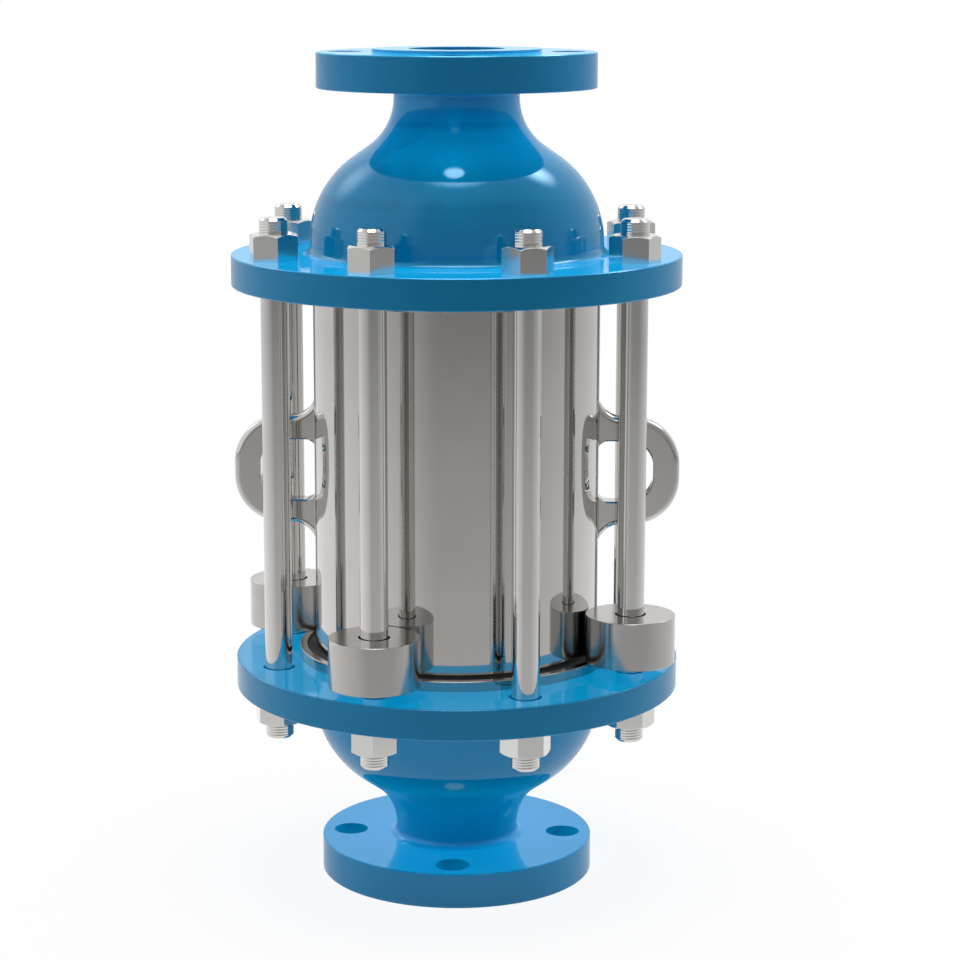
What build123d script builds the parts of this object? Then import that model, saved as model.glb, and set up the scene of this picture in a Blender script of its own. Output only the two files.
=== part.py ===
from build123d import *
import os
from math import cos, pi, radians, sin, tan

# An in-line flame arrestor that stands upright between two pipe flanges.
# Millimetres. The origin is at the centre of the lower pipe face, +Z runs up the pipe,
# and the two lifting handles lie along X.

# Overall length and how many rods hold it together
face_to_face = 462.0
rods_per_side = 4

# Pipe flanges, two inch class 150 with a raised face
pipe_bolt_circle = 120.65
pipe_flange_edge_distance = 15.875
pipe_flange_thickness = 21.0
raised_face_diameter = 92.1
raised_face_height = 1.6
pipe_bolt_hole = 19.05
pipe_bolt_count = 4
pipe_bore = 52.0

# Cast bell between the pipe flange and the body flange
neck_diameter = 68.4
bell_height = 89.3
bell_step = 1.6
bell_slope = 55.2
throat_depth = 21.5
throat_rounding = 32.0
shoulder_rounding = 57.0
neck_fillet = 4.0
foot_fillet = 5.0
bell_wall = 8.4

# Body flanges, which the tie rods pull together
body_flange_thickness = 16.8
flange_edge_distance = 19.2
flange_edge_break = 0.5

# Element casing, a polished tube
casing_diameter = 158.0
casing_wall = 3.5

# Seat of the casing in each body flange
seat_depth = 6.0
seat_gap = 5.0
seat_ring_wall = 4.0
seat_ring_stand = 5.4
gasket_thickness = 3.0
gasket_lip_drop = 2.5
seat_clearance = 0.15
turned_edge_break = 0.25

# Tie rods, their nuts and the guide collars on every other rod
shank_diameter = 15.0
thread_diameter = 15.4
thread_length = 32.0
rod_hole_diameter = 17.5
nut_across_flats = 24.0
nut_height = 14.1
nut_clearance = 0.2
stud_projection = 8.5
rod_end_chamfer = 1.4
nut_chamfer_slope = 30.0
nut_top_share = 0.95
collar_diameter = 48.8
collar_height = 26.3
collar_bore = 17.0
collar_gap = 0.8

# Lifting handles, flat plates welded to the casing
handle_reach = 44.4
handle_height = 60.0
handle_thickness = 12.0
handle_leg_width = 13.0
handle_grip_width = 14.5
handle_corner_rounding = 26.0
slot_corner_rounding = 14.0
slot_foot_rounding = 6.0
handle_foot_rounding = 14.0
handle_foot_sink = 1.0
handle_edge_rounding = 3.2
slot_edge_break = 0.8
weld_gap = 0.1

# Flame elements, the grids that hold them and the spacer between them
grid_height = 14.0
grid_rim_width = 6.0
grid_hub_diameter = 26.0
grid_ring_diameter = 84.0
grid_bar_width = 4.0
grid_spoke_count = 8
bore_clearance = 0.3
spacer_height = 6.0
band_wall = 2.0
ribbon_recess = 1.0
ribbon_turns = 6
ribbon_thickness = 0.8
ribbon_clearance = 0.3
crimp_pitch = 15.0
core_wall = 2.6

# Rod and nuts that clamp the elements into one pack
core_rod_diameter = 10.0
core_rod_projection = 4.0
core_nut_across_flats = 16.0
core_nut_height = 8.0
core_nut_clearance = 0.1

# Heights above the middle, the same upwards and downwards
half_length = face_to_face / 2
pipe_back = half_length - pipe_flange_thickness
raised_face_foot = half_length - raised_face_height
flange_back = pipe_back - bell_height
flange_face = flange_back - body_flange_thickness
seat_floor = flange_face + seat_depth
casing_end = seat_floor - gasket_thickness
ring_top = flange_face - seat_ring_stand
nut_end = flange_back + nut_height
rod_end = nut_end + stud_projection
grid_inner_face = seat_floor - grid_height

# Radii that follow from the sizes above
pipe_flange_radius = pipe_bolt_circle / 2 + pipe_flange_edge_distance
casing_radius = casing_diameter / 2
casing_inner_radius = casing_radius - casing_wall
bell_radius = casing_radius + bell_step
neck_radius = neck_diameter / 2
cavity_radius = bell_radius - bell_wall
bore_radius = pipe_bore / 2
seat_ring_inner_radius = casing_radius + seat_gap
seat_ring_outer_radius = seat_ring_inner_radius + seat_ring_wall
collar_radius = collar_diameter / 2
rod_circle_radius = casing_radius + collar_gap + collar_radius
body_flange_radius = rod_circle_radius + flange_edge_distance
rod_count = 2 * rods_per_side
rod_step = 360 / rod_count
nut_corner_radius = nut_across_flats / 2 / cos(radians(30))

# Shares of a run that a rounding may use up, so that a short wall keeps a straight stretch
rounding_share = 0.97


def outline_of(corners, edge_break=0, broken=()):
    """A flat face on the XZ plane. Each corner is its x, its height and its rounding.

    The corners whose place is in broken are cut off at 45 degrees instead.
    """
    face = make_face(Polyline(*[(x, height) for x, height, _ in corners], close=True))
    for x, height, rounding in corners:
        if rounding > 0:
            face = fillet(face.vertices().sort_by_distance((x, height, 0))[0], rounding)
    for x, height in broken:
        face = chamfer(face.vertices().sort_by_distance((x, height, 0))[0], edge_break)
    return Plane.XZ * face


def turned(corners, edge_break=0, broken=()):
    """A solid turned about Z from an outline whose x is the radius."""
    return revolve(outline_of(corners, edge_break, broken), axis=Axis.Z)


def tube(inner_radius, outer_radius, low, high, edge_break=0):
    """A plain ring between two radii and two heights, with its outer edges broken."""
    foot, top = (outer_radius, low), (outer_radius, high)
    corners = [(inner_radius, low, 0), (*foot, 0), (*top, 0), (inner_radius, high, 0)]
    return turned(corners, edge_break, [foot, top] if edge_break else [])


def drill(diameter, low, high):
    """A cutter for a round hole that runs a millimetre past both heights."""
    return Pos(0, 0, low - 1) * extrude(Circle(diameter / 2), amount=high - low + 2)


def around(piece, radius, count, first_angle):
    """Copies of a piece set out on a circle, the first at first_angle from +X."""
    return [Rot(0, 0, first_angle + 360 / count * k) * Pos(radius, 0, 0) * piece for k in range(count)]


def upper(piece):
    """Place a piece that is drawn about the middle of the arrestor."""
    return Pos(0, 0, half_length) * piece


def lower(piece):
    """Place the mirror image of a piece that is drawn for the upper half."""
    return Pos(0, 0, half_length) * mirror(piece, about=Plane.XY)


def save(node, shape):
    """Write one node's file."""
    export_step(shape, "parts/" + node + ".step")


def fitted(rounding, turn, run):
    """The rounding, or less where the wall beside the corner is too short for it."""
    return min(rounding, rounding_share * run / tan(radians(turn) / 2))


def bell_height_at(radius, wall):
    """Height of the bell's sloped run at a radius, a wall's thickness inside the outer skin."""
    slope = radians(bell_slope)
    throat_height = pipe_back - throat_depth
    return throat_height - (wall + (radius - neck_radius) * cos(slope)) / sin(slope)


def housing():
    """Cast housing: pipe flange, neck, bell and body flange in one piece, hollow right through."""
    throat = bell_height_at(neck_radius, 0)
    shoulder = bell_height_at(bell_radius, 0)
    inner_throat = bell_height_at(bore_radius, bell_wall)
    inner_shoulder = bell_height_at(cavity_radius, bell_wall)
    slope_run = (bell_radius - neck_radius) / sin(radians(bell_slope))
    throat_part = throat_rounding / (throat_rounding + shoulder_rounding)

    # The foot's fillet stays clear of the nuts, and both bell roundings of each other
    foot = min(foot_fillet, rounding_share * (rod_circle_radius - nut_corner_radius - bell_radius))
    wall_run = min(shoulder - flange_back - foot, slope_run * (1 - throat_part))
    neck_run = min(pipe_back - throat - neck_fillet, slope_run * throat_part)
    shoulder_outer = fitted(shoulder_rounding, bell_slope, wall_run)
    throat_outer = fitted(throat_rounding, bell_slope, neck_run)
    shoulder_inner = fitted(shoulder_outer - bell_wall, bell_slope, inner_shoulder - seat_floor)

    body = turned(
        [
            (cavity_radius, seat_floor, 0),
            (seat_ring_outer_radius + seat_clearance, seat_floor, 0),
            (seat_ring_outer_radius + seat_clearance, flange_face, 0),
            (body_flange_radius, flange_face, 0),
            (body_flange_radius, flange_back, 0),
            (bell_radius, flange_back, foot),
            (bell_radius, shoulder, shoulder_outer),
            (neck_radius, throat, throat_outer),
            (neck_radius, pipe_back, neck_fillet),
            (pipe_flange_radius, pipe_back, 0),
            (pipe_flange_radius, raised_face_foot, 0),
            (raised_face_diameter / 2, raised_face_foot, 0),
            (raised_face_diameter / 2, half_length, 0),
            (bore_radius, half_length, 0),
            (bore_radius, inner_throat, throat_outer + bell_wall),
            (cavity_radius, inner_shoulder, shoulder_inner),
        ],
        flange_edge_break,
        [
            (body_flange_radius, flange_face),
            (body_flange_radius, flange_back),
            (pipe_flange_radius, pipe_back),
            (pipe_flange_radius, raised_face_foot),
        ],
    )
    pipe_hole = drill(pipe_bolt_hole, pipe_back, half_length)
    rod_hole = drill(rod_hole_diameter, flange_face, flange_back)
    body -= around(pipe_hole, pipe_bolt_circle / 2, pipe_bolt_count, 0)
    body -= around(rod_hole, rod_circle_radius, rod_count, rod_step / 2)
    return body


def hex_nut(across_flats, height, bore, foot):
    """Plain hexagon nut standing on foot, with the outer corners of its top cut off by a cone."""
    corner_radius = across_flats / 2 / cos(radians(30))
    top_radius = nut_top_share * across_flats / 2
    drop = (corner_radius - top_radius) * tan(radians(nut_chamfer_slope))
    blank = extrude(RegularPolygon(corner_radius, 6), amount=height)
    cone = turned(
        [
            (0, 0, 0),
            (corner_radius, 0, 0),
            (corner_radius, height - drop, 0),
            (top_radius, height, 0),
            (0, height, 0),
        ]
    )
    return Pos(0, 0, foot) * ((blank & cone) - drill(bore, 0, height))


def tie_rod():
    """Round rod with a slightly thicker threaded stretch at each end, drawn about the middle."""
    shank = shank_diameter / 2
    thread = thread_diameter / 2
    shank_end = rod_end - thread_length
    chamfer_foot = rod_end - rod_end_chamfer
    tip = thread - rod_end_chamfer
    return turned(
        [
            (0, -rod_end, 0),
            (tip, -rod_end, 0),
            (thread, -chamfer_foot, 0),
            (thread, -shank_end, 0),
            (shank, -shank_end, 0),
            (shank, shank_end, 0),
            (thread, shank_end, 0),
            (thread, chamfer_foot, 0),
            (tip, rod_end, 0),
            (0, rod_end, 0),
        ]
    )


def guide_collar():
    """Thick plain disc that slides on a rod and rests on the lower seat ring."""
    return tube(collar_bore / 2, collar_radius, -ring_top, -ring_top + collar_height, turned_edge_break)


def seat_ring():
    """Turned ring pressed into the body flange, which keeps the casing central."""
    return tube(seat_ring_inner_radius, seat_ring_outer_radius, ring_top, seat_floor, turned_edge_break)


def gasket():
    """Packing under the casing's end, with a lip that fills most of the gap around it."""
    lip_inner = casing_radius + seat_clearance
    lip_outer = seat_ring_inner_radius - seat_clearance
    return turned(
        [
            (casing_inner_radius, casing_end, 0),
            (lip_inner, casing_end, 0),
            (lip_inner, ring_top + gasket_lip_drop, 0),
            (lip_outer, ring_top + gasket_lip_drop, 0),
            (lip_outer, seat_floor, 0),
            (casing_inner_radius, seat_floor, 0),
        ]
    )


def element_casing():
    """Polished tube that holds the flame elements, open at both ends."""
    return tube(casing_inner_radius, casing_radius, -casing_end, casing_end, turned_edge_break)


def handle():
    """D shaped lifting plate on +X, with flared feet, a finger slot and rounded edges."""
    foot_x = casing_radius - handle_foot_sink
    root_x = foot_x - 2 * handle_edge_rounding
    grip_x = casing_radius + handle_reach
    slot_x = grip_x - handle_grip_width
    half_height = handle_height / 2
    slot_half = half_height - handle_leg_width
    foot_height = half_height + handle_foot_rounding + handle_edge_rounding
    corner = min(handle_corner_rounding, rounding_share * half_height)
    slot_corner = min(slot_corner_rounding, rounding_share * slot_half)

    plate = outline_of(
        [
            (root_x, -foot_height, 0),
            (foot_x, -foot_height, 0),
            (foot_x, -half_height, handle_foot_rounding),
            (grip_x, -half_height, corner),
            (grip_x, half_height, corner),
            (foot_x, half_height, handle_foot_rounding),
            (foot_x, foot_height, 0),
            (root_x, foot_height, 0),
        ]
    )
    slot = outline_of(
        [
            (foot_x, -slot_half, slot_foot_rounding),
            (slot_x, -slot_half, slot_corner),
            (slot_x, slot_half, slot_corner),
            (foot_x, slot_half, slot_foot_rounding),
        ]
    )
    blank = extrude(plate, amount=handle_thickness / 2, both=True)
    faces = blank.faces().filter_by(Axis.Y)
    rim = [edge for edge in faces.edges() if edge.bounding_box().max.X > foot_x + weld_gap]
    blank = fillet(rim, handle_edge_rounding)
    cutter = extrude(slot, amount=handle_thickness, both=True)
    solid = blank - cutter
    mouth = new_edges(blank, cutter, combined=solid).filter_by(Axis.Y, reverse=True)
    solid = chamfer(mouth, slot_edge_break)
    return solid - drill(2 * (casing_radius + weld_gap), -foot_height, foot_height)


def support_grid():
    """Wheel of flat bars in the casing's end that the flame elements bear on."""
    outer = casing_inner_radius - bore_clearance
    hub_radius = grid_hub_diameter / 2
    spoke_length = outer - grid_rim_width / 2 - hub_radius / 2
    ring_inner = (grid_ring_diameter - grid_bar_width) / 2
    spoke = Pos(hub_radius / 2, -grid_bar_width / 2, grid_inner_face) * Box(
        spoke_length, grid_bar_width, grid_height, align=Align.MIN
    )
    wheel = tube(outer - grid_rim_width, outer, grid_inner_face, seat_floor)
    wheel += tube(ring_inner, ring_inner + grid_bar_width, grid_inner_face, seat_floor)
    wheel += Pos(0, 0, grid_inner_face) * extrude(Circle(hub_radius), amount=grid_height)
    wheel += around(spoke, 0, grid_spoke_count, 180 / grid_spoke_count)
    return wheel - drill(core_rod_diameter + 2 * bore_clearance, grid_inner_face, seat_floor)


def spacer():
    """Low wheel between the two flame elements, with a rim, a hub and four spokes."""
    outer = casing_inner_radius - bore_clearance
    hub_radius = grid_hub_diameter / 2
    spoke_length = outer - grid_rim_width / 2 - hub_radius / 2
    spoke = Pos(hub_radius / 2, -grid_bar_width / 2, -spacer_height / 2) * Box(
        spoke_length, grid_bar_width, spacer_height, align=Align.MIN
    )
    wheel = tube(outer - grid_rim_width, outer, -spacer_height / 2, spacer_height / 2)
    wheel += Pos(0, 0, -spacer_height / 2) * extrude(Circle(hub_radius), amount=spacer_height)
    wheel += around(spoke, 0, grid_spoke_count // 2, 180 / grid_spoke_count)
    return wheel - drill(core_rod_diameter + 2 * bore_clearance, -spacer_height / 2, spacer_height / 2)


# Where each flame element lies above the middle, and the radii that its ribbon winds between
element_low = spacer_height / 2
element_high = grid_inner_face
ribbon_low = element_low + ribbon_recess
ribbon_high = element_high - ribbon_recess
band_outer_radius = casing_inner_radius - bore_clearance
band_inner_radius = band_outer_radius - band_wall
core_inner_radius = core_rod_diameter / 2 + bore_clearance
core_outer_radius = core_inner_radius + core_wall
winding_start = core_outer_radius + ribbon_clearance + ribbon_thickness / 2
winding_end = band_inner_radius - ribbon_clearance - ribbon_thickness / 2
winding_pitch = (winding_end - winding_start) / ribbon_turns


def winding_centre(half_turn):
    """Centre of a half turn: the spiral is made of half circles about two centres on the X axis."""
    return -winding_pitch / 4 if half_turn % 2 == 0 else winding_pitch / 4


def winding_radius(half_turn):
    """Radius of a half turn about its own centre."""
    return winding_start + winding_pitch / 4 + winding_pitch / 2 * half_turn


def flat_ribbon():
    """The plain strip, wound on edge into a spiral from the core out to the band."""
    inner, outer = [], []
    for half_turn in range(2 * ribbon_turns):
        centre = (winding_centre(half_turn), 0)
        first = 180 * (half_turn % 2)
        radius = winding_radius(half_turn)
        inner.append(CenterArc(centre, radius - ribbon_thickness / 2, first, 180))
        outer.append(CenterArc(centre, radius + ribbon_thickness / 2, first, 180))
    ends = [Line(inner[0] @ 0, outer[0] @ 0), Line(inner[-1] @ 1, outer[-1] @ 1)]
    edges = [piece.edge() for piece in inner + outer + ends]
    strip = make_face(Wire(edges))
    return Pos(0, 0, ribbon_low) * extrude(strip, amount=ribbon_high - ribbon_low)


def crimped_ribbon():
    """The crimped strip, a zigzag that fills the space between the turns of the plain one."""
    swing = (winding_pitch - 2 * ribbon_thickness) / 2 - ribbon_clearance
    near, far = [], []
    for half_turn in range(2 * (ribbon_turns - 1)):
        radius = winding_radius(half_turn) + winding_pitch / 2
        steps = 2 * max(2, round(pi * radius / crimp_pitch))
        for step in range(steps):
            angle = pi * (half_turn % 2 + step / steps)
            side = swing if step % 2 else -swing
            for line, offset in ((near, -ribbon_thickness / 2), (far, ribbon_thickness / 2)):
                reach = radius + side + offset
                line.append((winding_centre(half_turn) + reach * cos(angle), reach * sin(angle)))
    strip = make_face(Polyline(*near, *reversed(far), close=True))
    return Pos(0, 0, ribbon_low) * extrude(strip, amount=ribbon_high - ribbon_low)


def element_band():
    """Sleeve that the ribbons of one element are wound into."""
    return tube(band_inner_radius, band_outer_radius, element_low, element_high)


def element_core():
    """Short tube that the ribbons are wound on."""
    return tube(core_inner_radius, core_outer_radius, element_low, element_high)


def core_rod():
    """Rod through the middle of the pack of elements, drawn about the middle."""
    end = seat_floor + core_nut_height + core_rod_projection
    rod = extrude(Circle(core_rod_diameter / 2), amount=end, both=True)
    return chamfer(rod.edges().filter_by(GeomType.CIRCLE), turned_edge_break)


os.makedirs("parts", exist_ok=True)

cast_housing = housing()
save("upper_housing", upper(cast_housing))
save("lower_housing", lower(cast_housing))

save("element_casing", upper(element_casing()))
handle_plate = handle()
save("handle_right", upper(handle_plate))
save("handle_left", upper(Rot(0, 0, 180) * handle_plate))

# The rods stand half a step either side of the handles, the first at the front left
first_rod_angle = -90 - rod_step / 2
rod_angles = [first_rod_angle + rod_step * k for k in range(rod_count)]
rod = tie_rod()
nut_bore = thread_diameter + 2 * nut_clearance
nut = Rot(0, 0, rod_step / 2) * hex_nut(nut_across_flats, nut_height, nut_bore, flange_back)
for number, angle in enumerate(rod_angles, start=1):
    place = Rot(0, 0, angle) * Pos(rod_circle_radius, 0, 0)
    save("tie_rod_%d" % number, upper(place * rod))
    save("upper_nut_%d" % number, upper(place * nut))
    save("lower_nut_%d" % number, lower(place * nut))

collar = guide_collar()
for number, angle in enumerate(rod_angles[::2], start=1):
    save("guide_collar_%d" % number, upper(Rot(0, 0, angle) * Pos(rod_circle_radius, 0, 0) * collar))

for node, piece in (("seat_ring", seat_ring()), ("gasket", gasket()), ("support_grid", support_grid())):
    save(node + "_upper", upper(piece))
    save(node + "_lower", lower(piece))

save("element_spacer", upper(spacer()))
element_pieces = (
    ("element_band", element_band()),
    ("element_core", element_core()),
    ("flat_ribbon", flat_ribbon()),
    ("crimped_ribbon", crimped_ribbon()),
)
for node, piece in element_pieces:
    save(node + "_upper", upper(piece))
    save(node + "_lower", lower(piece))

save("core_rod", upper(core_rod()))
core_nut_bore = core_rod_diameter + 2 * core_nut_clearance
core_nut = hex_nut(core_nut_across_flats, core_nut_height, core_nut_bore, seat_floor)
save("core_nut_upper", upper(core_nut))
save("core_nut_lower", lower(core_nut))
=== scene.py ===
import math

import bpy
import numpy as np
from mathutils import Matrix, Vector


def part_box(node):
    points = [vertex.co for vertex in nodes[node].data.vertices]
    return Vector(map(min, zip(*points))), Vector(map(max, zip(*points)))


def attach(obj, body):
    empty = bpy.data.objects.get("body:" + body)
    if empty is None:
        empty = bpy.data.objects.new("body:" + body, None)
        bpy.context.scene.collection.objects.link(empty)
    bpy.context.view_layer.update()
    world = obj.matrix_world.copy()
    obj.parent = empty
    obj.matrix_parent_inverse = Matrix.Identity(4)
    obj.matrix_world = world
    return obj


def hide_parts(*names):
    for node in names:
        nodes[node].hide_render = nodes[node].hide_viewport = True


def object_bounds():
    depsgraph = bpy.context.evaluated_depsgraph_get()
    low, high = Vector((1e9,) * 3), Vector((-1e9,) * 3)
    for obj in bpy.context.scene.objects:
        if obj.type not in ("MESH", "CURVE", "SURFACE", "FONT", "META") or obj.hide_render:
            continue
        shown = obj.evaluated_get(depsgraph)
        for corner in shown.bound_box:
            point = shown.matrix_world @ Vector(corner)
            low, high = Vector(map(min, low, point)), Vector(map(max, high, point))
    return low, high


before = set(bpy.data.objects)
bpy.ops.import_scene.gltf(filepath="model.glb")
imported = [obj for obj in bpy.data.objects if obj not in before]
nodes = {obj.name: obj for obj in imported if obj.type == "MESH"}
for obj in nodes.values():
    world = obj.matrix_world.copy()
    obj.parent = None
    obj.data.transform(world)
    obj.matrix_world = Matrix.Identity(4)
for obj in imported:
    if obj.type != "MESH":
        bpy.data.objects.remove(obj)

# An upright in-line flame arrestor: two blue cast bells bolted by eight tie rods round a polished casing.
# Metres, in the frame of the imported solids: the foot stands on Z = 0 and the lifting handles lie along X.
cad_low, cad_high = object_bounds()


# The camera. It stands a metre and a half off, a little right of the front and above the upper body
# flange, and looks down by eleven degrees. The arrestor's axis falls left of the picture's middle.
picture_width = 960
axis_in_picture = 456.7
camera_distance = 1.4437
camera_height = 0.5073
camera_round_to_right = math.radians(2.14)
camera_pitch = math.radians(11.078)

camera_data = bpy.data.cameras.new("camera")
camera_data.sensor_width = 36.0
camera_data.lens = 99.06
camera_data.shift_x = (picture_width / 2 - axis_in_picture) / picture_width
camera_data.clip_start = 0.05
camera_data.clip_end = 100.0
camera = bpy.data.objects.new("camera", camera_data)
bpy.context.scene.collection.objects.link(camera)
bpy.context.scene.camera = camera
toward = Vector((math.sin(camera_round_to_right), -math.cos(camera_round_to_right), 0.0))
camera.location = toward * camera_distance + Vector((0.0, 0.0, camera_height))
looking = -toward * math.cos(camera_pitch) - Vector((0.0, 0.0, math.sin(camera_pitch)))
camera.rotation_euler = looking.to_track_quat("-Z", "Y").to_euler()


# The surround. The camera sees it white. In mirrors its walls are grey in front, white on the left and
# paler by degrees round to the right, under a pale ceiling, and three soft lamps glow in it.
# A pair of values is where a change begins and where it is complete, here and in the later sections.
left_wall_glow = 0.60
left_wall_ends = (-50.0, -20.0)
right_wall_front_glow = 0.35
right_wall_back_glow = 0.92
right_wall_pales = (55.0, 140.0)
ceiling_glow = 0.60
ceiling_begins = (0.70, 0.92)
overhead_lamp_glow = 8.0
overhead_lamp_begins = (0.935, 1.0)
lamp_focus = 2.5


def put(tree, kind, inputs=None, **settings):
    """Adds a node of a kind to a tree. An input is a plain value or the socket that feeds it."""
    made = tree.nodes.new(kind)
    for key, value in settings.items():
        setattr(made, key, value)
    for key, value in (inputs or {}).items():
        if isinstance(value, bpy.types.NodeSocket):
            tree.links.new(value, made.inputs[key])
        else:
            made.inputs[key].default_value = value
    return made


def math_node(tree, operation, first, second=0.0, third=0.0):
    """The result of one sum on two or three numbers or sockets."""
    return put(tree, "ShaderNodeMath", {0: first, 1: second, 2: third}, operation=operation).outputs[0]


def vector_node(tree, operation, first, second=(0.0, 0.0, 0.0)):
    """The result of one sum on two vectors or sockets: a number where it is a length or a dot product."""
    made = put(tree, "ShaderNodeVectorMath", {0: first, 1: second}, operation=operation)
    return made.outputs["Value" if operation in ("LENGTH", "DOT_PRODUCT") else "Vector"]


def ramp(tree, value, low, high, to_low=0.0, to_high=1.0, shape="SMOOTHSTEP"):
    """A step, smooth or straight: to_low while the value is under low, to_high once it is over high."""
    inputs = {"Value": value, "From Min": low, "From Max": high, "To Min": to_low, "To Max": to_high}
    return put(tree, "ShaderNodeMapRange", inputs, interpolation_type=shape).outputs["Result"]


def mixed_number(tree, share, first, second):
    """A number between two, by a share from 0 to 1."""
    return put(tree, "ShaderNodeMix", {"Factor": share, 2: first, 3: second}).outputs[0]


def heading_of(tree, parts):
    """How far round from the front a direction or a place lies, in degrees, positive to the right: the
    angle whose tangent is X over -Y."""
    south = math_node(tree, "MULTIPLY", parts.outputs["Y"], -1.0)
    angle = math_node(tree, "ARCTAN2", parts.outputs["X"], south)
    return math_node(tree, "MULTIPLY", angle, 180.0 / math.pi)


def lamp_seen(tree, toward, heading, height, reach, strength):
    """The glow of a soft lamp round one direction: strength in its middle, none at reach degrees from it."""
    bearing, rise = math.radians(heading), math.radians(height)
    middle = (math.cos(rise) * math.sin(bearing), -math.cos(rise) * math.cos(bearing), math.sin(rise))
    near = vector_node(tree, "DOT_PRODUCT", toward, middle)
    near = ramp(tree, near, math.cos(math.radians(reach)), 1.0, 0.0, 1.0, "LINEAR")
    return math_node(tree, "MULTIPLY", math_node(tree, "POWER", near, lamp_focus), strength)


world = bpy.data.worlds.new("studio")
bpy.context.scene.world = world
world.use_nodes = True
sky = world.node_tree
sky.nodes.clear()
direction = put(sky, "ShaderNodeTexCoord").outputs["Generated"]
way = put(sky, "ShaderNodeSeparateXYZ", {0: direction})
upward = way.outputs["Z"]
path = put(sky, "ShaderNodeLightPath")
heading = heading_of(sky, way)
left_wall = ramp(sky, heading, *left_wall_ends, left_wall_glow, 0.0)
right_wall = ramp(sky, heading, *right_wall_pales, right_wall_front_glow, right_wall_back_glow, "LINEAR")
walls = math_node(sky, "ADD", left_wall, right_wall)
mirrored = mixed_number(sky, ramp(sky, upward, *ceiling_begins), walls, ceiling_glow)
right_lamp = lamp_seen(sky, direction, heading=130.0, height=46.5, reach=15.0, strength=9.5)
left_lamp = lamp_seen(sky, direction, heading=-131.0, height=32.0, reach=18.0, strength=2.0)
mirrored = math_node(sky, "ADD", math_node(sky, "ADD", mirrored, right_lamp), left_lamp)
mirrored = mixed_number(sky, ramp(sky, upward, *overhead_lamp_begins), mirrored, overhead_lamp_glow)
in_gloss = math_node(sky, "MAXIMUM", path.outputs["Is Glossy Ray"], path.outputs["Is Transmission Ray"])
strength = mixed_number(sky, in_gloss, 0.0, mirrored)
strength = mixed_number(sky, path.outputs["Is Camera Ray"], strength, 1.0)
background = put(sky, "ShaderNodeBackground", {"Color": (1.0, 1.0, 1.0, 1.0), "Strength": strength})
sky.links.new(background.outputs[0], put(sky, "ShaderNodeOutputWorld").inputs["Surface"])


# The floor is a white disc of rings that widen outwards, so wide that its far edge lies at the horizon. It
# takes the arrestor's shadow close by. In mirrors it is dimmest a little right of the front.
floor_radius = 40.0
first_ring_radius = 0.05
floor_rings = 24
floor_columns = 96


def mesh_from(name, points, faces):
    """A mesh object at the origin from a table of points and a list of faces."""
    mesh = bpy.data.meshes.new(name)
    mesh.from_pydata(points.tolist(), [], faces)
    mesh.update()
    made = bpy.data.objects.new(name, mesh)
    bpy.context.scene.collection.objects.link(made)
    return made


def ring_faces(rows, columns, first=0):
    """Four-cornered faces between rows of points that close on themselves: point j of row i is joined to
    point j + 1 of its row and to both of the next row."""
    row = np.arange(rows - 1)[:, None] * columns + first
    here = np.arange(columns)[None, :]
    after = (here + 1) % columns
    corners = [row + here, row + after, row + columns + after, row + columns + here]
    return np.stack(corners, -1).reshape(-1, 4)


ring_radii = np.geomspace(first_ring_radius, floor_radius, floor_rings)
bearings = np.linspace(0.0, 2 * math.pi, floor_columns, endpoint=False)
east, north = np.outer(ring_radii, np.cos(bearings)), np.outer(ring_radii, np.sin(bearings))
floor_points = np.stack([east, north, np.zeros_like(east)], -1).reshape(-1, 3)
here = np.arange(floor_columns)
middle_fan = np.stack([np.zeros(floor_columns, int), 1 + here, 1 + (here + 1) % floor_columns], -1)
rings_facing_up = ring_faces(floor_rings, floor_columns, 1)[:, ::-1]
floor = mesh_from(
    "floor",
    np.concatenate(([[0.0, 0.0, 0.0]], floor_points)),
    middle_fan.tolist() + rings_facing_up.tolist(),
)

# Mirrored, the floor is white close by and a little darker with the distance. A patch on the left is
# brighter, and one in front, some metres off, is darker. A turn is a heading less the dimmest one.
floor_dim_heading = 14.0
floor_brightens_round = (26.0, 150.0)
floor_front_glow = 0.36
floor_back_glow = 0.86
floor_darkens = (0.48, 2.28)
floor_darkens_by = (0.17, -0.07)
mirrored_white = 0.92
mirrored_white_ends = (0.20, 0.45)
left_patch_glow = 0.065
left_patch_begins = (0.35, 0.70)
left_patch_turns = ((-149.0, -109.0), (-54.0, -28.0))
front_patch_glow = -0.16
front_patch_begins = (2.4, 4.8)
front_patch_ends = (5.5, 9.0)
front_patch_turns = ((-80.0, -50.0), (50.0, 80.0))


def place_on_piece(tree):
    """Where the shaded point lies, in the frame of the solids."""
    return put(tree, "ShaderNodeTexCoord").outputs["Object"]


floor_material = bpy.data.materials.new("white_floor")
floor_material.use_nodes = True
ground = floor_material.node_tree
ground.nodes.clear()
place = place_on_piece(ground)
far = vector_node(ground, "LENGTH", place)
heading = heading_of(ground, put(ground, "ShaderNodeSeparateXYZ", {0: place}))
turn = math_node(ground, "SUBTRACT", heading, floor_dim_heading)
off_dimmest = math_node(ground, "ABSOLUTE", turn)
floor_glow = ramp(ground, off_dimmest, *floor_brightens_round, floor_front_glow, floor_back_glow, "LINEAR")
left_patch = ramp(ground, far, *left_patch_begins, 0.0, left_patch_glow)
front_patch = ramp(ground, far, *front_patch_begins, 0.0, front_patch_glow, "LINEAR")
front_patch = math_node(ground, "MULTIPLY", front_patch, ramp(ground, far, *front_patch_ends, 1.0, 0.0))
for patch, (begins, ends) in ((left_patch, left_patch_turns), (front_patch, front_patch_turns)):
    sector = math_node(ground, "MULTIPLY", ramp(ground, turn, *begins), ramp(ground, turn, *ends, 1.0, 0.0))
    floor_glow = math_node(ground, "MULTIPLY_ADD", sector, patch, floor_glow)
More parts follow.
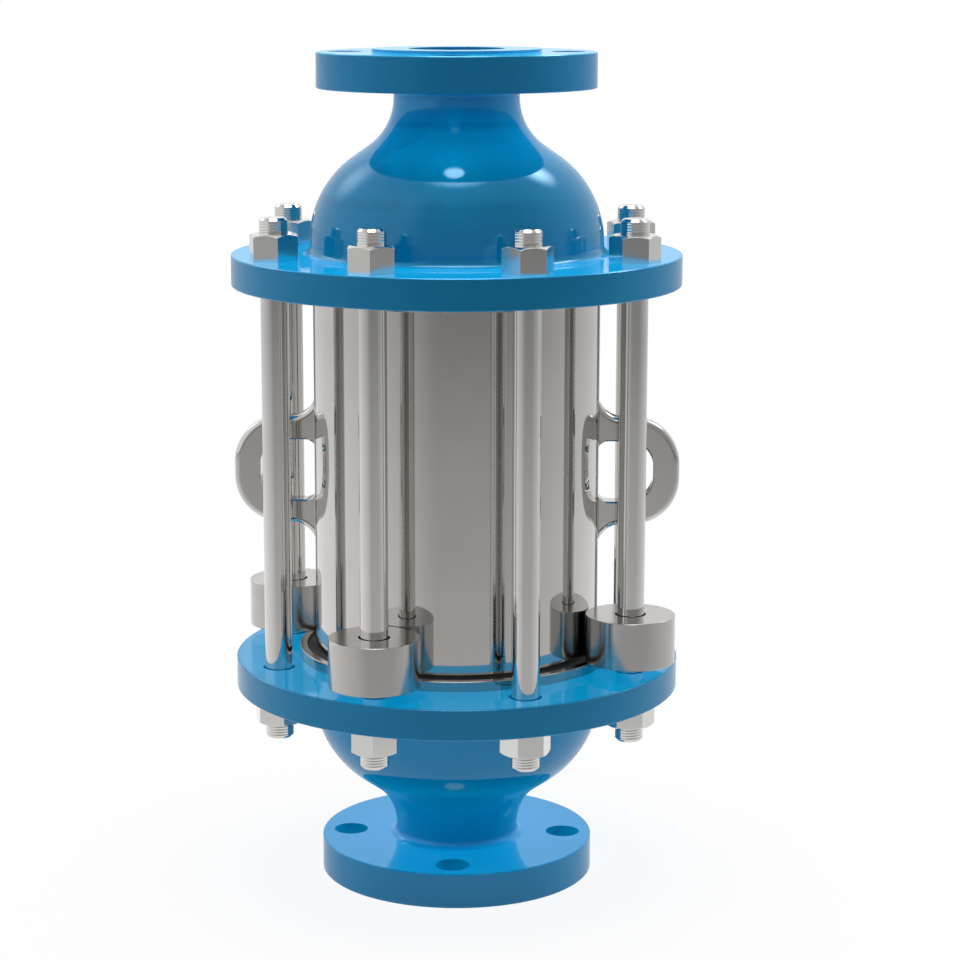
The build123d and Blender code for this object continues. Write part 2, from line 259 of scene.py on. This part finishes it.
darker = ramp(ground, far, *floor_darkens, *floor_darkens_by, "LINEAR")
mirrored = math_node(ground, "ADD", floor_glow, darker)
close_by = ramp(ground, far, *mirrored_white_ends, 1.0, 0.0)
mirrored = mixed_number(ground, close_by, mirrored, mirrored_white)

# The camera sees it glow white where it is far, and lit and shaded where it is near. The light that it
# throws back on the arrestor is weaker under the foot and far away than between.
lit_white = 0.95
shadow_glow = 0.80
shadow_fades = (0.10, 0.45)
thrown_by_foot = (0.36, 0.84)
foot_ends = (0.12, 0.20)
thrown_far_away = -0.36
thrown_fades = (0.30, 0.45)
path = put(ground, "ShaderNodeLightPath")
seen = path.outputs["Is Camera Ray"]
shown = mixed_number(ground, seen, mirrored, 1.0)
glowing = math_node(ground, "MULTIPLY", seen, ramp(ground, far, *shadow_fades, shadow_glow, 1.0))
glowing = math_node(ground, "MAXIMUM", glowing, path.outputs["Is Glossy Ray"])
glowing = math_node(ground, "MAXIMUM", glowing, path.outputs["Is Transmission Ray"])
thrown = ramp(ground, far, *foot_ends, *thrown_by_foot)
thrown = math_node(ground, "ADD", thrown, ramp(ground, far, *thrown_fades, 0.0, thrown_far_away))
white = mixed_number(ground, seen, thrown, lit_white)
pale = put(ground, "ShaderNodeCombineColor", {0: white, 1: white, 2: white})
lit = put(ground, "ShaderNodeBsdfDiffuse", {"Color": pale.outputs[0]})
bright = put(ground, "ShaderNodeEmission", {"Color": (1.0, 1.0, 1.0, 1.0), "Strength": shown})
mixed = put(ground, "ShaderNodeMixShader", {0: glowing, 1: lit.outputs[0], 2: bright.outputs[0]})
ground.links.new(mixed.outputs[0], put(ground, "ShaderNodeOutputMaterial").inputs["Surface"])
floor.data.materials.append(floor_material)


# The lamps are soft boxes turned to the arrestor's middle. Only the first, overhead, casts shadows, and
# mirrors see the surround's own lamps in their place.
middle_height = cad_high.z / 2


def soft_lamp(name, watts, across, place_of, shadows=False):
    """A square soft box that faces the arrestor's middle."""
    data = bpy.data.lights.new(name, "AREA")
    data.energy = watts
    data.size = across
    data.use_shadow = shadows
    lamp = bpy.data.objects.new(name, data)
    bpy.context.scene.collection.objects.link(lamp)
    lamp.location = place_of
    to_middle = Vector((0.0, 0.0, middle_height)) - Vector(place_of)
    lamp.rotation_euler = to_middle.to_track_quat("-Z", "Y").to_euler()
    lamp.visible_glossy = False


soft_lamp("top_box", 11.5, 0.8, (0.0, 0.0, 1.95), shadows=True)
soft_lamp("top_fill", 22.3, 1.0, (0.0, 0.0, 1.95))
soft_lamp("front_fill", 0.65, 1.0, (0.0, -1.5, 0.4))
soft_lamp("left_fill", 2.4, 1.0, (-1.5, -0.3, 0.4))
soft_lamp("right_fill", 0.6, 1.0, (1.5, -0.3, 0.4))
soft_lamp("back_left", 2.4, 0.6, (-1.2, 0.6, 0.5))
soft_lamp("back_right", 5.0, 0.6, (1.2, 0.6, 0.5))
soft_lamp("back_fill", 3.0, 1.0, (0.0, 1.5, 0.4))
bpy.context.scene.view_settings.view_transform = "Standard"


# The two housings are iron castings, machined on their flanges and holes, then sprayed with a deep blue
# gloss enamel. The enamel flows, so it is smooth with a faint skin. Its colour holds painted light and shade
# in several zones, and its edges are paler, partly a thinner coat and partly a painted highlight.
enamel_colour = (0.0030, 0.378, 0.780, 1.0)
enamel_pooled_colour = (0.0020, 0.355, 0.755, 1.0)
# Paler on the edges, partly a thinner coat and partly a painted highlight
enamel_thin_and_highlight_edge_colour = (0.015, 0.410, 0.800, 1.0)
# Painted shading: the next colours, down to the hole colour, are darker copies of the enamel that stand in
# for shade on the bells, necks, foot, fillet and lower tops, and lighter ones that stand in for light on the
# lower neck, the upper tops and the hole walls
enamel_bell_painted_shade_colour = (0.0010, 0.274, 0.550, 1.0)
enamel_foot_painted_shade_colour = (0.0008, 0.330, 0.560, 1.0)
enamel_fillet_painted_shade_colour = (0.0008, 0.240, 0.440, 1.0)
enamel_neck_painted_shade_colour = (0.0010, 0.312, 0.600, 1.0)
enamel_low_bell_painted_shade_colour = (0.0010, 0.296, 0.612, 1.0)
enamel_low_neck_painted_light_colour = (0.0010, 0.435, 0.720, 1.0)
enamel_top_painted_light_colour = (0.0030, 0.397, 0.792, 1.0)
enamel_low_top_painted_shade_colour = (0.0026, 0.368, 0.722, 1.0)
enamel_hole_painted_light_colour = (0.0030, 0.520, 0.780, 1.0)
# Paler on the pipe flanges' outer faces, partly a thinner coat and partly painted light
enamel_face_thin_and_painted_light_colour = (0.022, 0.480, 0.820, 1.0)
enamel_thin_and_highlight_share = 0.40
enamel_smoothest = 0.10
enamel_rough_spread = 0.05

# Cast and sprayed skin: a slow tone over the surface and a low bump of ripples and fine peel. Noise keeps
# near a half, so a pair of contrast values stretches it to a tone from 0 to 1.
slow_contrast = (0.35, 0.65)


def numbers_group(name, inputs, outputs):
    """An empty shader node group with number inputs, each with its own plain value, and outputs by kind."""
    group = bpy.data.node_groups.new(name, "ShaderNodeTree")
    for key, value in inputs.items():
        group.interface.new_socket(key, in_out="INPUT", socket_type="NodeSocketFloat").default_value = value
    for key, kind in outputs.items():
        group.interface.new_socket(key, in_out="OUTPUT", socket_type=kind)
    return group, group.nodes.new("NodeGroupInput"), group.nodes.new("NodeGroupOutput")


skin, skin_in, skin_out = numbers_group(
    "sprayed_skin",
    {"Ripples": 70.0, "Peel": 900.0, "Peel Share": 0.35},
    {"Height": "NodeSocketFloat", "Tone": "NodeSocketFloat"},
)
place = place_on_piece(skin)
tone = put(skin, "ShaderNodeTexNoise", {"Vector": place, "Scale": 16.0, "Detail": 3.0, "Roughness": 0.55})
scale = skin_in.outputs["Ripples"]
ripples = put(skin, "ShaderNodeTexNoise", {"Vector": place, "Scale": scale, "Detail": 1.0})
peel = put(skin, "ShaderNodeTexNoise", {"Vector": place, "Scale": skin_in.outputs["Peel"], "Detail": 2.0})
peel_height = math_node(skin, "MULTIPLY", peel.outputs[0], skin_in.outputs["Peel Share"])
skin.links.new(math_node(skin, "ADD", ripples.outputs[0], peel_height), skin_out.inputs["Height"])
skin.links.new(ramp(skin, tone.outputs[0], *slow_contrast), skin_out.inputs["Tone"])

# Rounded edges: the normal turned as a small rounding would turn it, and a mask that is 1 on the edge
least_bend = 0.005
edges, edges_in, edges_out = numbers_group(
    "broken_edges",
    {"Radius": 0.0006, "Sharpness": 0.12},
    {"Normal": "NodeSocketVector", "Edge": "NodeSocketFloat"},
)
rounded = put(edges, "ShaderNodeBevel", {"Radius": edges_in.outputs["Radius"]}, samples=4)
plain = put(edges, "ShaderNodeNewGeometry").outputs["Normal"]
bent = math_node(edges, "SUBTRACT", 1.0, vector_node(edges, "DOT_PRODUCT", rounded.outputs[0], plain))
edges.links.new(rounded.outputs[0], edges_out.inputs["Normal"])
edges.links.new(ramp(edges, bent, least_bend, edges_in.outputs["Sharpness"]), edges_out.inputs["Edge"])


def new_material(name):
    """An empty node material, with its tree and its output node."""
    made = bpy.data.materials.new(name)
    made.use_nodes = True
    made.node_tree.nodes.clear()
    return made, made.node_tree, put(made.node_tree, "ShaderNodeOutputMaterial")


def use_group(tree, group, inputs):
    """One use of a node group with its own values."""
    return put(tree, "ShaderNodeGroup", inputs, node_tree=group)


def mixed_colour(tree, share, first, second):
    """A colour between two, by a share from 0 to 1."""
    return put(tree, "ShaderNodeMix", {"Factor": share, 6: first, 7: second}, data_type="RGBA").outputs[2]


def give_finish(piece, material):
    """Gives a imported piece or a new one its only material."""
    piece.data.materials.clear()
    piece.data.materials.append(material)


enamel, tree, output = new_material("blue_enamel")
cast = use_group(tree, skin, {"Ripples": 70.0, "Peel": 1100.0, "Peel Share": 0.30})
edge_rounding = use_group(tree, edges, {"Radius": 0.0002, "Sharpness": 0.15})
colour = mixed_colour(tree, cast.outputs["Tone"], enamel_pooled_colour, enamel_colour)

# Both castings are alike, so the painted shading and the paler coats go by the distance from the arrestor's
# middle height. Some go by the reach from its axis, by which way the surface faces, or by which casting it
# is, told by the height.
upper_casting_begins = (0.20, 0.26)
place = place_on_piece(tree)
height = put(tree, "ShaderNodeSeparateXYZ", {0: place}).outputs["Z"]
from_middle = math_node(tree, "ABSOLUTE", math_node(tree, "SUBTRACT", height, middle_height))
reach = vector_node(tree, "LENGTH", vector_node(tree, "MULTIPLY", place, (1.0, 1.0, 0.0)))
normal = put(tree, "ShaderNodeNewGeometry").outputs["Normal"]
facing_up = put(tree, "ShaderNodeSeparateXYZ", {0: normal}).outputs["Z"]
on_upper = ramp(tree, height, *upper_casting_begins)
on_lower = ramp(tree, height, *upper_casting_begins, 1.0, 0.0)

# What faces up on the flanges has painted light on the upper casting and painted shade on the lower one,
# which lies under the flanges above, and the walls of the pipe flanges' holes have painted light
top_begins = (0.90, 0.98)
wall_ends = (0.2, 0.4)
hole_begins = (0.046, 0.048)
hole_ends = (0.071, 0.073)
pipe_flange_begins = (0.2085, 0.2095)
top_painted_shading = mixed_colour(tree, on_upper, enamel_low_top_painted_shade_colour, enamel_top_painted_light_colour)
colour = mixed_colour(tree, ramp(tree, facing_up, *top_begins), colour, top_painted_shading)
hole_wall_painted_light = ramp(tree, math_node(tree, "ABSOLUTE", facing_up), *wall_ends, 1.0, 0.0)
hole_wall_painted_light = math_node(tree, "MULTIPLY", hole_wall_painted_light, ramp(tree, reach, *hole_begins))
hole_wall_painted_light = math_node(tree, "MULTIPLY", hole_wall_painted_light, ramp(tree, reach, *hole_ends, 1.0, 0.0))
hole_wall_painted_light = math_node(tree, "MULTIPLY", hole_wall_painted_light, ramp(tree, from_middle, *pipe_flange_begins))
colour = mixed_colour(tree, hole_wall_painted_light, colour, enamel_hole_painted_light_colour)

# The bells and necks, between the machined flanges, keep their cast skin, and their colour holds painted
# shade. On the upper casting it is lighter on the neck and at the bell's foot, and darkest in the fillet
# round the foot. The lower casting's bell is lighter and its neck has painted light. The lower body flange's
# rim takes the lower bell's painted shade.
skin_begins = (0.1210, 0.1222)
skin_ends = (0.2045, 0.2085)
bell_foot_ends = (0.126, 0.150)
fillet_ends = (0.1235, 0.1265)
neck_begins = (0.160, 0.176)
low_neck_begins = (0.157, 0.171)
low_rim_begins = (0.1205, 0.1230)
on_neck = ramp(tree, from_middle, *neck_begins)
bell_painted_shading = mixed_colour(tree, on_neck, enamel_bell_painted_shade_colour, enamel_neck_painted_shade_colour)
at_foot = ramp(tree, from_middle, *bell_foot_ends, 1.0, 0.0)
bell_painted_shading = mixed_colour(tree, at_foot, bell_painted_shading, enamel_foot_painted_shade_colour)
in_fillet = ramp(tree, from_middle, *fillet_ends, 1.0, 0.0)
bell_painted_shading = mixed_colour(tree, in_fillet, bell_painted_shading, enamel_fillet_painted_shade_colour)
on_low_neck = ramp(tree, from_middle, *low_neck_begins)
low_bell_painted_shading = mixed_colour(tree, on_low_neck, enamel_low_bell_painted_shade_colour, enamel_low_neck_painted_light_colour)
bell_painted_shading = mixed_colour(tree, on_upper, low_bell_painted_shading, bell_painted_shading)
painted_shade_zone = ramp(tree, from_middle, *skin_begins)
painted_shade_zone = math_node(tree, "MULTIPLY", painted_shade_zone, ramp(tree, from_middle, *skin_ends, 1.0, 0.0))
on_low_rim = math_node(tree, "MULTIPLY", ramp(tree, reach, *low_rim_begins), on_lower)
painted_shade_zone = math_node(tree, "MAXIMUM", painted_shade_zone, on_low_rim)
colour = mixed_colour(tree, painted_shade_zone, colour, bell_painted_shading)

# The pipe flanges' outer faces are paler, partly a thinner coat and partly painted light, and every edge is
# paler, partly a thinner coat and partly a painted highlight
face_begins = (0.2284, 0.2292)
colour = mixed_colour(tree, ramp(tree, from_middle, *face_begins), colour, enamel_face_thin_and_painted_light_colour)
edge_thin_and_highlight_share = math_node(tree, "MULTIPLY", edge_rounding.outputs["Edge"], enamel_thin_and_highlight_share)
colour = mixed_colour(tree, edge_thin_and_highlight_share, colour, enamel_thin_and_highlight_edge_colour)
rough = math_node(tree, "MULTIPLY_ADD", cast.outputs["Tone"], enamel_rough_spread, enamel_smoothest)
bump = put(
    tree,
    "ShaderNodeBump",
    {
        "Strength": 0.035,
        "Distance": 0.001,
        "Height": cast.outputs["Height"],
        "Normal": edge_rounding.outputs["Normal"],
    },
)
gloss = put(
    tree,
    "ShaderNodeBsdfPrincipled",
    {
        "Base Color": colour,
        "Metallic": 0.10,
        "Roughness": rough,
        "Specular IOR Level": 0.0,
        "Normal": bump.outputs[0],
        "Coat Weight": 0.65,
        "Coat Roughness": 0.012,
        "Coat IOR": 1.5,
        "Coat Normal": bump.outputs[0],
    },
)
tree.links.new(gloss.outputs[0], output.inputs["Surface"])
for side in ("upper", "lower"):
    give_finish(nodes[side + "_housing"], enamel)


# The element casing is a rolled and welded stainless tube, polished lengthwise until it mirrors the rods.
# The handles are cut from plate, polished the same way, and welded to it.
polished_colour = (0.630, 0.615, 0.595, 1.0)
polished_warm_colour = (0.560, 0.540, 0.515, 1.0)
line_contrast = (0.3, 0.7)
drawn_cloud_share = 0.35
drawn_line_share = 0.12

# Drawn grain: hair lines along Z that come from noise stretched up and down
grain, grain_in, grain_out = numbers_group(
    "drawn_grain",
    {"Fineness": 1400.0, "Stretch": 0.02},
    {"Height": "NodeSocketFloat", "Streak": "NodeSocketFloat", "Cloud": "NodeSocketFloat"},
)
place = place_on_piece(grain)
stretch = put(grain, "ShaderNodeCombineXYZ", {0: 1.0, 1: 1.0, 2: grain_in.outputs["Stretch"]})
drawn_out = vector_node(grain, "MULTIPLY", place, stretch.outputs[0])
fineness = grain_in.outputs["Fineness"]
hair = put(grain, "ShaderNodeTexNoise", {"Vector": drawn_out, "Scale": fineness, "Detail": 3.0})
cloud = put(grain, "ShaderNodeTexNoise", {"Vector": place, "Scale": 22.0, "Detail": 4.0, "Roughness": 0.6})
grain.links.new(hair.outputs[0], grain_out.inputs["Height"])
grain.links.new(ramp(grain, hair.outputs[0], *line_contrast), grain_out.inputs["Streak"])
grain.links.new(ramp(grain, cloud.outputs[0], *slow_contrast), grain_out.inputs["Cloud"])


def metal_surface(tree, output, marks, edge_rounding, depth, colour, rough):
    """Bare metal. Its marks stand out by depth, as a bump on the rounded edges' normal."""
    bump = put(
        tree,
        "ShaderNodeBump",
        {
            "Strength": depth,
            "Distance": 0.0002,
            "Height": marks.outputs["Height"],
            "Normal": edge_rounding.outputs["Normal"],
        },
    )
    metal = put(
        tree,
        "ShaderNodeBsdfPrincipled",
        {"Base Color": colour, "Metallic": 1.0, "Roughness": rough, "Normal": bump.outputs[0]},
    )
    tree.links.new(metal.outputs[0], output.inputs["Surface"])


def drawn_steel(name, bright_colour, dull_colour, smoothest, rough_spread, grain_depth, edge_radius=0.0003):
    """Polished steel with lengthwise hair lines, a faint cloudiness and soft broken edges. Its tarnish is a
    share of the clouds plus a share of the hair lines, and it dulls the colour and roughens the steel."""
    made, tree, output = new_material(name)
    lines = use_group(tree, grain, {"Fineness": 1400.0, "Stretch": 0.02})
    edge_rounding = use_group(tree, edges, {"Radius": edge_radius, "Sharpness": 0.15})
    tarnish = math_node(tree, "MULTIPLY", lines.outputs["Cloud"], drawn_cloud_share)
    tarnish = math_node(tree, "MULTIPLY_ADD", lines.outputs["Streak"], drawn_line_share, tarnish)
    colour = mixed_colour(tree, tarnish, bright_colour, dull_colour)
    rough = math_node(tree, "MULTIPLY_ADD", tarnish, rough_spread, smoothest)
    metal_surface(tree, output, lines, edge_rounding, grain_depth, colour, rough)
    return made


polished = drawn_steel(
    "polished_stainless",
    polished_colour,
    polished_warm_colour,
    smoothest=0.045,
    rough_spread=0.05,
    grain_depth=0.003,
)
for name in ("element_casing", "handle_left", "handle_right"):
    give_finish(nodes[name], polished)


# The tie rods are bright drawn bar, threaded at both ends with a fine rolled thread. The plain bar is the
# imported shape, and each new rod keeps it and adds the thread where it stands out of its nuts.
mm = 0.001
rod_count = 8
thread_pitch = 1.5 * mm
thread_depth = 0.12 * mm
thread_runout = 1.0 * mm
thread_shown = 9.5 * mm
thread_crease = math.radians(35)
rows_a_thread = 8
rod_columns = 48
rod_shank_radius = 7.5 * mm
rod_thread_length = 32.0 * mm
rod_chamfer = 1.4 * mm
bar_colour = (0.710, 0.700, 0.685, 1.0)
bar_dull_colour = (0.640, 0.625, 0.605, 1.0)


def turned_surface(radii, heights, columns):
    """Points of a surface turned about Z: row i, column j lies at radius radii[i, j], height heights[i],
    and bearing 2 pi j / columns. The first and last points lie on the axis and close the ends."""
    bearing = 2 * math.pi * np.arange(columns) / columns
    level = np.repeat(heights[:, None], columns, 1)
    points = np.stack([radii * np.cos(bearing), radii * np.sin(bearing), level], -1)
    bottom, top = [0.0, 0.0, heights[0]], [0.0, 0.0, heights[-1]]
    return np.concatenate(([bottom], points.reshape(-1, 3), [top]))


def closed_turned_faces(rows, columns):
    """Faces of a turned surface: rings of four-cornered faces, with a fan of triangles at each end."""
    here = np.arange(columns)
    after = (here + 1) % columns
    last = rows * columns + 1
    foot = np.stack([np.zeros(columns, int), 1 + after, 1 + here], -1)
    top = np.stack([np.full(columns, last), last - columns + here, last - columns + after], -1)
    return foot.tolist() + ring_faces(rows, columns, 1).tolist() + top.tolist()


def threaded_rod(rod_low, rod_high, thread_radius):
    """A round bar along Z. Near its ends the radius is less by thread_depth times a triangle wave of
    (height / pitch - bearing / 2 pi), which winds one groove round it. The wave fades in over a runout."""
    step = thread_pitch / rows_a_thread
    count = int(round(thread_shown / step))
    low_part = rod_low + rod_chamfer + step * np.arange(count)
    high_part = (rod_high - rod_chamfer - step * np.arange(count))[::-1]
    shank_ends = np.repeat([rod_low + rod_thread_length, rod_high - rod_thread_length], 2)
    heights = np.concatenate(([rod_low], low_part, shank_ends, high_part, [rod_high]))
    plain = np.full(len(heights), thread_radius)
    plain[[0, -1]] = thread_radius - rod_chamfer
    plain[count + 2:count + 4] = rod_shank_radius
    from_end = np.minimum(heights - rod_low, rod_high - heights)
    depth = thread_depth * np.clip((thread_shown + rod_chamfer - from_end) / thread_runout, 0, 1)
    depth[[0, -1]] = 0
    bearing_share = np.arange(rod_columns) / rod_columns
    phase = (heights[:, None] / thread_pitch - bearing_share[None, :]) % 1.0
    groove = 1 - np.abs(2 * phase - 1)
    radii = plain[:, None] - depth[:, None] * groove
    return turned_surface(radii, heights, rod_columns), closed_turned_faces(len(heights), rod_columns)


bar_steel = drawn_steel(
    "bright_bar", bar_colour, bar_dull_colour, smoothest=0.06, rough_spread=0.07, grain_depth=0.010
)
for number in range(1, rod_count + 1):
    low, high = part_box("tie_rod_%d" % number)
    centre = (low + high) / 2
    points, faces = threaded_rod(low.z, high.z, (high.x - low.x) / 2)
    points[:, 0] += centre.x
    points[:, 1] += centre.y
    rod = mesh_from("threaded_rod_%d" % number, points, faces)
    rod.data.polygons.foreach_set("use_smooth", np.ones(len(rod.data.polygons), bool))
    rod.data.set_sharp_from_angle(angle=thread_crease)
    give_finish(rod, bar_steel)
    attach(rod, "root")
    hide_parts("tie_rod_%d" % number)


# The nuts are plain hexagons, machined from bright bar, with the corners of one face turned off. At each
# end of a rod, one is screwed up against the back of the body flange, with no washer.
nut_colour = (0.780, 0.772, 0.755, 1.0)
nut_dull_colour = (0.690, 0.680, 0.660, 1.0)
nut_steel = drawn_steel(
    "bright_nut", nut_colour, nut_dull_colour, smoothest=0.12, rough_spread=0.08, grain_depth=0.02
)
for number in range(1, rod_count + 1):
    for side in ("upper", "lower"):
        give_finish(nodes["%s_nut_%d" % (side, number)], nut_steel)


# The guide collars are thick discs that slide on every other rod and rest on the lower seat ring. The seat
# rings are pressed into the body flanges and keep the casing central. All are stainless, turned in the
# lathe, which leaves fine rings round each piece's own axis.
turned_colour = (0.530, 0.517, 0.500, 1.0)
turned_dull_colour = (0.470, 0.455, 0.435, 1.0)
turned_cloud_share = 0.40
turned_line_share = 0.16
turned_rough_spread = 0.08
turned_edge_radius = 0.4 * mm
lathe_mark = 0.3 * mm
collar_count = 4

turned, turned_in, turned_out = numbers_group(
    "turned_rings",
    {"Centre X": 0.0, "Centre Y": 0.0, "Ring Width": 0.0004},
    {"Height": "NodeSocketFloat", "Ring": "NodeSocketFloat", "Cloud": "NodeSocketFloat"},
)
place = place_on_piece(turned)
parts = put(turned, "ShaderNodeSeparateXYZ", {0: place})
east = math_node(turned, "SUBTRACT", parts.outputs["X"], turned_in.outputs["Centre X"])
north = math_node(turned, "SUBTRACT", parts.outputs["Y"], turned_in.outputs["Centre Y"])
north_squared = math_node(turned, "MULTIPLY", north, north)
reach = math_node(turned, "SQRT", math_node(turned, "MULTIPLY_ADD", east, east, north_squared))
across = math_node(turned, "DIVIDE", reach, turned_in.outputs["Ring Width"])
upward = math_node(turned, "DIVIDE", parts.outputs["Z"], turned_in.outputs["Ring Width"])
lathe = put(turned, "ShaderNodeCombineXYZ", {0: across, 1: upward}).outputs[0]
rings = put(
    turned, "ShaderNodeTexNoise", {"Vector": lathe, "Scale": 1.0, "Detail": 2.0}, noise_dimensions="2D"
)
cloud = put(turned, "ShaderNodeTexNoise", {"Vector": place, "Scale": 40.0, "Detail": 4.0, "Roughness": 0.6})
turned.links.new(rings.outputs[0], turned_out.inputs["Height"])
turned.links.new(ramp(turned, rings.outputs[0], *line_contrast), turned_out.inputs["Ring"])
turned.links.new(ramp(turned, cloud.outputs[0], *slow_contrast), turned_out.inputs["Cloud"])


def turned_steel(name, centre, smoothest, ring_depth):
    """Bright turned steel whose lathe marks run round the given centre. Its tarnish is a share of the clouds
    plus a share of the marks."""
    made, tree, output = new_material(name)
    marks = use_group(tree, turned, {"Centre X": centre.x, "Centre Y": centre.y, "Ring Width": lathe_mark})
    edge_rounding = use_group(tree, edges, {"Radius": turned_edge_radius, "Sharpness": 0.15})
    tarnish = math_node(tree, "MULTIPLY", marks.outputs["Cloud"], turned_cloud_share)
    tarnish = math_node(tree, "MULTIPLY_ADD", marks.outputs["Ring"], turned_line_share, tarnish)
    colour = mixed_colour(tree, tarnish, turned_colour, turned_dull_colour)
    rough = math_node(tree, "MULTIPLY_ADD", tarnish, turned_rough_spread, smoothest)
    metal_surface(tree, output, marks, edge_rounding, ring_depth, colour, rough)
    return made


def middle_of(node):
    """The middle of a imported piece's box."""
    low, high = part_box(node)
    return (low + high) / 2


for number in range(1, collar_count + 1):
    name = "guide_collar_%d" % number
    collar_steel = turned_steel(
        "turned_collar_%d" % number, middle_of(name), smoothest=0.16, ring_depth=0.03
    )
    give_finish(nodes[name], collar_steel)
ring_steel = turned_steel("turned_seat", Vector((0.0, 0.0, 0.0)), smoothest=0.10, ring_depth=0.06)
for side in ("upper", "lower"):
    give_finish(nodes["seat_ring_" + side], ring_steel)


# The gaskets are rings of pressed graphite packing, matt and nearly black, with a flaky surface. The tie
# rods squeeze them under the casing's ends, and a lip fills the gap inside the seat ring.
packing_colour = (0.022, 0.022, 0.024, 1.0)
packing_pale_colour = (0.050, 0.050, 0.052, 1.0)
packing, tree, output = new_material("graphite_packing")
flakes = use_group(tree, skin, {"Ripples": 500.0, "Peel": 2600.0, "Peel Share": 0.8})
flake_height = flakes.outputs["Height"]
colour = mixed_colour(tree, flakes.outputs["Tone"], packing_colour, packing_pale_colour)
bump = put(tree, "ShaderNodeBump", {"Strength": 0.4, "Distance": 0.0004, "Height": flake_height})
matt = put(
    tree, "ShaderNodeBsdfPrincipled", {"Base Color": colour, "Roughness": 0.62, "Normal": bump.outputs[0]}
)
tree.links.new(matt.outputs[0], output.inputs["Surface"])
for side in ("upper", "lower"):
    give_finish(nodes["gasket_" + side], packing)


# Inside, the grids, spacer, sleeves, winding tubes, rod and nuts are plain mill finished stainless. The rod
# and its nuts clamp the two elements and the spacer between the grids.
mill_colour = (0.520, 0.515, 0.505, 1.0)
mill_dull_colour = (0.430, 0.420, 0.405, 1.0)
mill_steel = drawn_steel(
    "mill_stainless", mill_colour, mill_dull_colour, smoothest=0.24, rough_spread=0.16, grain_depth=0.10
)
inner = ["element_spacer", "core_rod"]
for side in ("upper", "lower"):
    inner += [kind + side for kind in ("support_grid_", "element_band_", "element_core_", "core_nut_")]
for name in inner:
    give_finish(nodes[name], mill_steel)


# Each flame element is two thin strips wound together on its core: a plain one and a crimped one, whose
# crimps leave narrow three-cornered channels that quench a flame. The strips are foil, wound tight.
strip_colour = (0.560, 0.550, 0.530, 1.0)
strip_dull_colour = (0.450, 0.440, 0.420, 1.0)
strip_thickness = 0.2 * mm
crimp_height = 1.3 * mm
crimp_width = 2.8 * mm
crimp_sharpness = 0.97
band_wall = 2.0 * mm
winding_gap = 0.05 * mm
points_a_crimp = 6
plain_step = math.radians(4.0)
turn_pitch = crimp_height + 2 * strip_thickness + winding_gap


def spiral_bearing(run, start_radius):
    """Bearing on a spiral r = start + pitch b / 2 pi, a run along it: the root of
    run = start b + pitch b squared / 4 pi."""
    radius = np.sqrt(start_radius ** 2 + turn_pitch * run / math.pi)
    return (radius - start_radius) * 2 * math.pi / turn_pitch


def wound_strip(bearing, radius, low, high):
    """A strip on edge along a winding: its two faces lie half a thickness either side of the radius at each
    bearing, and reach from low to high."""
    corners = []
    for side, height in ((-0.5, low), (0.5, low), (0.5, high), (-0.5, high)):
        reach = radius + side * strip_thickness
        level = np.full(len(bearing), height)
        corners.append(np.stack([reach * np.cos(bearing), reach * np.sin(bearing), level], -1))
    points = np.stack(corners, 1).reshape(-1, 3)
    here = np.arange(len(bearing) - 1)[:, None] * 4
    corner = np.arange(4)[None, :]
    after = (corner + 1) % 4
    faces = np.stack([here + corner, here + 4 + corner, here + 4 + after, here + after], -1).reshape(-1, 4)
    last = 4 * (len(bearing) - 1)
    ends = [[0, 1, 2, 3], [last + 3, last + 2, last + 1, last]]
    return points, np.concatenate((faces, ends))


strip_steel = drawn_steel(
    "rolled_strip",
    strip_colour,
    strip_dull_colour,
    smoothest=0.20,
    rough_spread=0.12,
    grain_depth=0.06,
    edge_radius=0.00005,
)
for side in ("upper", "lower"):
    core_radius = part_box("element_core_" + side)[1].x
    band_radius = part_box("element_band_" + side)[1].x - band_wall
    strip_low, strip_high = (corner.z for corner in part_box("crimped_ribbon_" + side))
    first_radius = core_radius + winding_gap + strip_thickness / 2
    turns = math.floor((band_radius - first_radius - strip_thickness) / turn_pitch)
    bearing = np.arange(0.0, 2 * math.pi * turns, plain_step)
    radius = first_radius + turn_pitch * bearing / (2 * math.pi)
    plain_strip = wound_strip(bearing, radius, strip_low, strip_high)

    # The crimped strip runs between the plain one's turns. Its wave is a sine drawn out towards a zigzag.
    crimp_start = first_radius + turn_pitch / 2
    most = 2 * math.pi * (turns - 1)
    length = crimp_start * most + turn_pitch * most ** 2 / (4 * math.pi)
    run = np.arange(0.0, length, crimp_width / points_a_crimp)
    bearing = spiral_bearing(run, crimp_start)
    wave = np.arcsin(crimp_sharpness * np.sin(2 * math.pi * run / crimp_width)) / math.asin(crimp_sharpness)
    radius = crimp_start + turn_pitch * bearing / (2 * math.pi)
    radius = radius + wave * (crimp_height - strip_thickness) / 2
    crimped_strip = wound_strip(bearing, radius, strip_low, strip_high)

    for kind, (points, faces) in (("flat_ribbon_", plain_strip), ("crimped_ribbon_", crimped_strip)):
        strip = mesh_from("wound_" + kind + side, points, faces.tolist())
        give_finish(strip, strip_steel)
        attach(strip, "root")
        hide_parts(kind + side)
